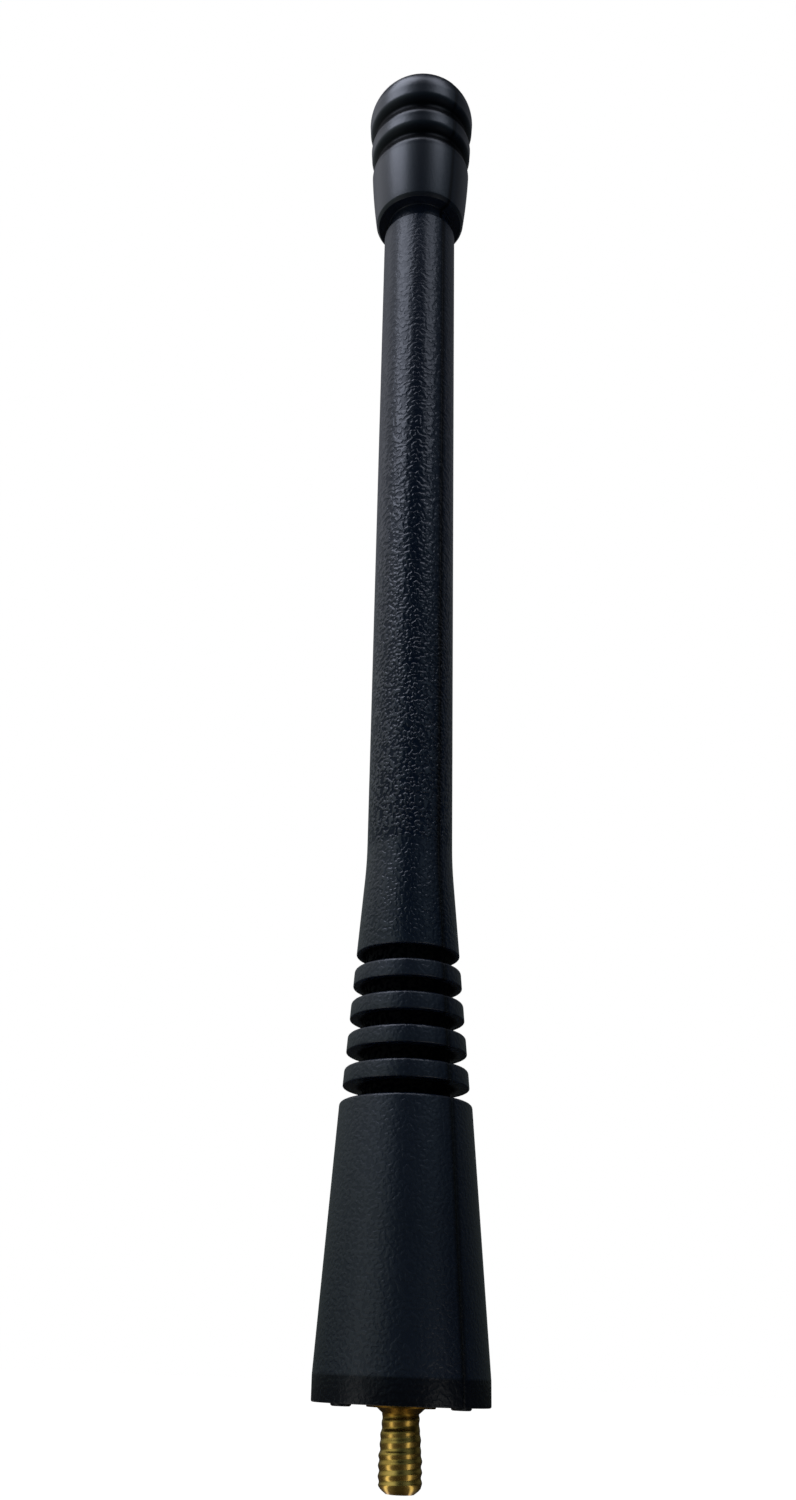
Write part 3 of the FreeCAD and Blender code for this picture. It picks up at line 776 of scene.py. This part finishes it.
stud = turned_piece("brass_stud", stud_outline(), even_turn(STUD_SIDES), thread_radius)
stud.data.materials.append(turned_brass)
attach(stud, "root")
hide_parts("threaded_stud")

FINISHES = {
    "stud_insulator": turned_ptfe,
    "coupling_collar": turned_brass,
    "inner_conductor": drawn_copper,
    "coax_dielectric": turned_ptfe,
    "coax_braid": tinned_braid(),
    "coax_jacket": cable_jacket(),
    "tube_foot": moulded_nylon,
    "carrier_tube": glass_fibre_tube(),
    "lower_sleeve": turned_brass,
    "sleeve_spacer_low": turned_ptfe,
    "sleeve_spacer_middle": turned_ptfe,
    "sleeve_end": turned_brass,
    "feed_insulator": turned_ptfe,
    "feed_terminal": turned_brass,
    "helix_former": moulded_nylon,
    "upper_helix": drawn_copper,
    "helix_cap": turned_brass,
    "tip_plug": moulded_nylon,
}
for name, finish in FINISHES.items():
    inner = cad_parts[name]
    if not inner.material_slots:
        inner.data.materials.append(finish)
    inner.material_slots[0].material = finish


# Stage: floor, lamps, light tent and world

AIM = Vector((0, 0, 0.1))
FLOOR_GAP = 0.02


def direction(azimuth, elevation):
    """Direction from the antenna: azimuth 0 towards the camera, 90 to the right."""
    turn, rise = math.radians(azimuth), math.radians(elevation)
    return Vector((
        math.sin(turn) * math.cos(rise), -math.cos(turn) * math.cos(rise), math.sin(rise)))


def soft_box(name, azimuth, elevation, distance, width, height, radiance, tint):
    """A rectangular lamp that faces the antenna's middle."""
    data = bpy.data.lights.new(name, "AREA")
    data.shape = "RECTANGLE"
    data.size, data.size_y = width, height
    data.energy = radiance * math.pi * width * height
    data.color = colour(tint)[:3]
    lamp = bpy.data.objects.new(name, data)
    towards = direction(azimuth, elevation)
    lamp.location = AIM + towards * distance
    lamp.rotation_euler = towards.to_track_quat("Z", "Y").to_euler()
    lamp.visible_camera = False
    scene.collection.objects.link(lamp)


def seen_directly(tree):
    """1 for rays from the camera, off gloss and through what is clear, and 0 for other light."""
    ray = add(tree, "ShaderNodeLightPath").outputs
    seen = ray["Is Camera Ray"]
    for way in ("Is Glossy Ray", "Is Transmission Ray"):
        seen = add(tree, "ShaderNodeMath", {0: seen, 1: ray[way]}, operation="MAXIMUM").outputs[0]
    return seen


def pale_floor():
    """A white floor just under the stud. To the camera it is mostly an even white glow, with
    enough of the lit card left in it for a faint shadow."""
    half, glow, glow_share = 4.0, 1.12, 0.9
    height = (SHANK_END - FLOOR_GAP) * MM
    mesh = bpy.data.meshes.new("floor")
    corners = ((-half, -half), (half, -half), (half, half), (-half, half))
    mesh.from_pydata([(x, y, height) for x, y in corners], [], [(0, 1, 2, 3)])
    floor = bpy.data.objects.new("floor", mesh)
    scene.collection.objects.link(floor)
    material, tree = new_material("white_card")
    lit = add(tree, "ShaderNodeBsdfDiffuse", {"Color": colour("#f2f2f0")}).outputs[0]
    bright = add(tree, "ShaderNodeEmission", {"Color": (1, 1, 1, 1), "Strength": glow}).outputs[0]
    share = add(tree, "ShaderNodeMath", {
        0: seen_directly(tree), 1: glow_share}, operation="MULTIPLY").outputs[0]
    mixed = add(tree, "ShaderNodeMixShader", {0: share, 1: lit, 2: bright}).outputs[0]
    add(tree, "ShaderNodeOutputMaterial", {"Surface": mixed})
    mesh.materials.append(material)


# How bright the tent's cards are by azimuth, near the floor and at the height that the head
# reflects, and their tints in the same way. Azimuth 0 is towards the camera, 90 to the right.

CARDS = [
    (-180, 0.08, 0.12), (-144, 0.11, 0.35), (-116, 0.15, 0.85), (-88, 0.26, 0.98),
    (-62, 0.50, 1.05), (-44, 0.52, 1.05), (-27, 0.42, 0.50), (-20, 0.26, 0.20), (-10, 0.16, 0.02),
    (6, 0.10, 0.0), (28, 0.11, 0.26), (48, 0.08, 0.60), (64, 0.01, 0.26), (86, 0.0, 0.07),
    (116, 0.06, 0.17), (180, 0.08, 0.12),
]
TINTS = [
    (-180, "#ecfff8", "#eff3ff"), (-90, "#ecfff8", "#eff3ff"), (-54, "#ecfff8", "#dbe7ff"),
    (-27, "#ecfff8", "#d0e7ff"), (-21, "#cbedff", "#c5e7ff"), (75, "#cbedff", "#d4e8ff"),
    (100, "#ecfff8", "#e6eeff"), (180, "#ecfff8", "#eff3ff"),
]

# How bright the floor's card is by azimuth: two light strips that stand in the brass

FLOOR_STRIPS = [
    (-180, 0.01), (-84, 0.06), (-68, 0.16), (-62, 0.85), (-52, 0.85), (-44, 0.12), (-14, 0.03),
    (12, 0.03), (36, 0.09), (41, 0.7), (50, 0.7), (57, 0.10), (90, 0.02), (180, 0.01),
]


def light_tent():
    """Cards round the antenna, under it and over it, which only reflections see: dark in front
    and on the right, paler to the left, dark overhead and with two light strips on the floor.
    The ramps hold half of the cards' brightness, and the strength doubles it."""
    sides, radius, ceiling = 96, 0.7, 2.2
    floor_height = (SHANK_END - FLOOR_GAP / 2) * MM
    places = [
        (radius * math.cos(angle), radius * math.sin(angle), height)
        for height in (floor_height, ceiling) for angle in even_turn(sides)]
    faces = [
        (side, (side + 1) % sides, sides + (side + 1) % sides, sides + side)
        for side in range(sides)]
    faces += [tuple(range(sides)), tuple(range(sides, 2 * sides))]
    mesh = bpy.data.meshes.new("light_tent")
    mesh.from_pydata(places, [], faces)
    tent = bpy.data.objects.new("light_tent", mesh)
    scene.collection.objects.link(tent)
    tent.visible_camera = False
    tent.visible_diffuse = False
    tent.visible_shadow = False
    tent.visible_transmission = False
    material, tree = new_material("tent_cards")
    place = add(tree, "ShaderNodeTexCoord").outputs["Object"]
    x, y, z = add(tree, "ShaderNodeSeparateXYZ", {"Vector": place}).outputs
    front = add(tree, "ShaderNodeMath", {0: y, 1: -1.0}, operation="MULTIPLY").outputs[0]
    turn = add(tree, "ShaderNodeMath", {0: x, 1: front}, operation="ARCTAN2").outputs[0]
    share = add(tree, "ShaderNodeMapRange", {
        "Value": turn, "From Min": -math.pi, "From Max": math.pi}).outputs[0]
    low_cards, high_cards = (
        add(tree, "ShaderNodeValToRGB", {"Fac": share}, stops=[
            ((card[0] + 180) / 360, card[row] / 2) for card in CARDS]).outputs[0]
        for row in (1, 2))
    low_tint, high_tint = (
        add(tree, "ShaderNodeValToRGB", {"Fac": share}, stops=[
            ((tint[0] + 180) / 360, colour(tint[row])) for tint in TINTS]).outputs[0]
        for row in (1, 2))
    rise = add(tree, "ShaderNodeMapRange", {"Value": z, "From Min": 0.05, "From Max": 0.65}).outputs[0]
    cards, tints = (
        add(tree, "ShaderNodeMix", {"Factor": rise, "A": low, "B": high}, data_type="RGBA").outputs[2]
        for low, high in ((low_cards, high_cards), (low_tint, high_tint)))
    tinted = add(tree, "ShaderNodeMix", {
        "Factor": 1.0, "A": cards, "B": tints}, data_type="RGBA", blend_type="MULTIPLY").outputs[2]
    level = add(tree, "ShaderNodeCombineXYZ", {"X": x, "Y": y}).outputs[0]
    reach = add(tree, "ShaderNodeVectorMath", {0: level}, operation="LENGTH").outputs["Value"]
    strips = add(tree, "ShaderNodeValToRGB", {"Fac": share}, stops=[
        ((strip[0] + 180) / 360, strip[1]) for strip in FLOOR_STRIPS]).outputs[0]
    floor_card = add(tree, "ShaderNodeMapRange", {
        "Value": reach, "From Min": 0.25, "From Max": 0.45, "To Min": 1.6, "To Max": 0.12}).outputs[0]
    under = add(tree, "ShaderNodeMapRange", {
        "Value": z, "From Min": floor_height, "From Max": floor_height + 0.001}).outputs[0]
    shown = add(tree, "ShaderNodeMix", {
        "Factor": under, "A": strips, "B": tinted}, data_type="RGBA").outputs[2]
    over = add(tree, "ShaderNodeMapRange", {
        "Value": z, "From Min": 1.15, "From Max": 1.5, "To Min": 2.0, "To Max": 0.06}).outputs[0]
    strength = add(tree, "ShaderNodeMix", {"Factor": under, "A": floor_card, "B": over}).outputs[0]
    glow = add(tree, "ShaderNodeEmission", {"Color": shown, "Strength": strength}).outputs[0]
    add(tree, "ShaderNodeOutputMaterial", {"Surface": glow})
    material.cycles.emission_sampling = "NONE"
    mesh.materials.append(material)


def white_world():
    """White behind the antenna for the camera and for what reflects; dimmer as a light."""
    world = bpy.data.worlds.new("world")
    scene.world = world
    world.use_nodes = True
    tree = world.node_tree
    tree.nodes.clear()
    strength = add(tree, "ShaderNodeMapRange", {
        "Value": seen_directly(tree), "To Min": 0.35, "To Max": 1.0}).outputs[0]
    glow = add(tree, "ShaderNodeBackground", {"Color": (1, 1, 1, 1), "Strength": strength}).outputs[0]
    add(tree, "ShaderNodeOutputWorld", {"Surface": glow})


pale_floor()
light_tent()
white_world()
soft_box(
    "window_left", azimuth=-54, elevation=62, distance=0.65, width=0.3, height=0.5,
    radiance=3.7, tint="#e6ecff")
soft_box(
    "lamp_right", azimuth=42, elevation=62, distance=0.65, width=0.2, height=0.4,
    radiance=2.2, tint="#e6ecff")

scene.view_settings.view_transform = "Standard"
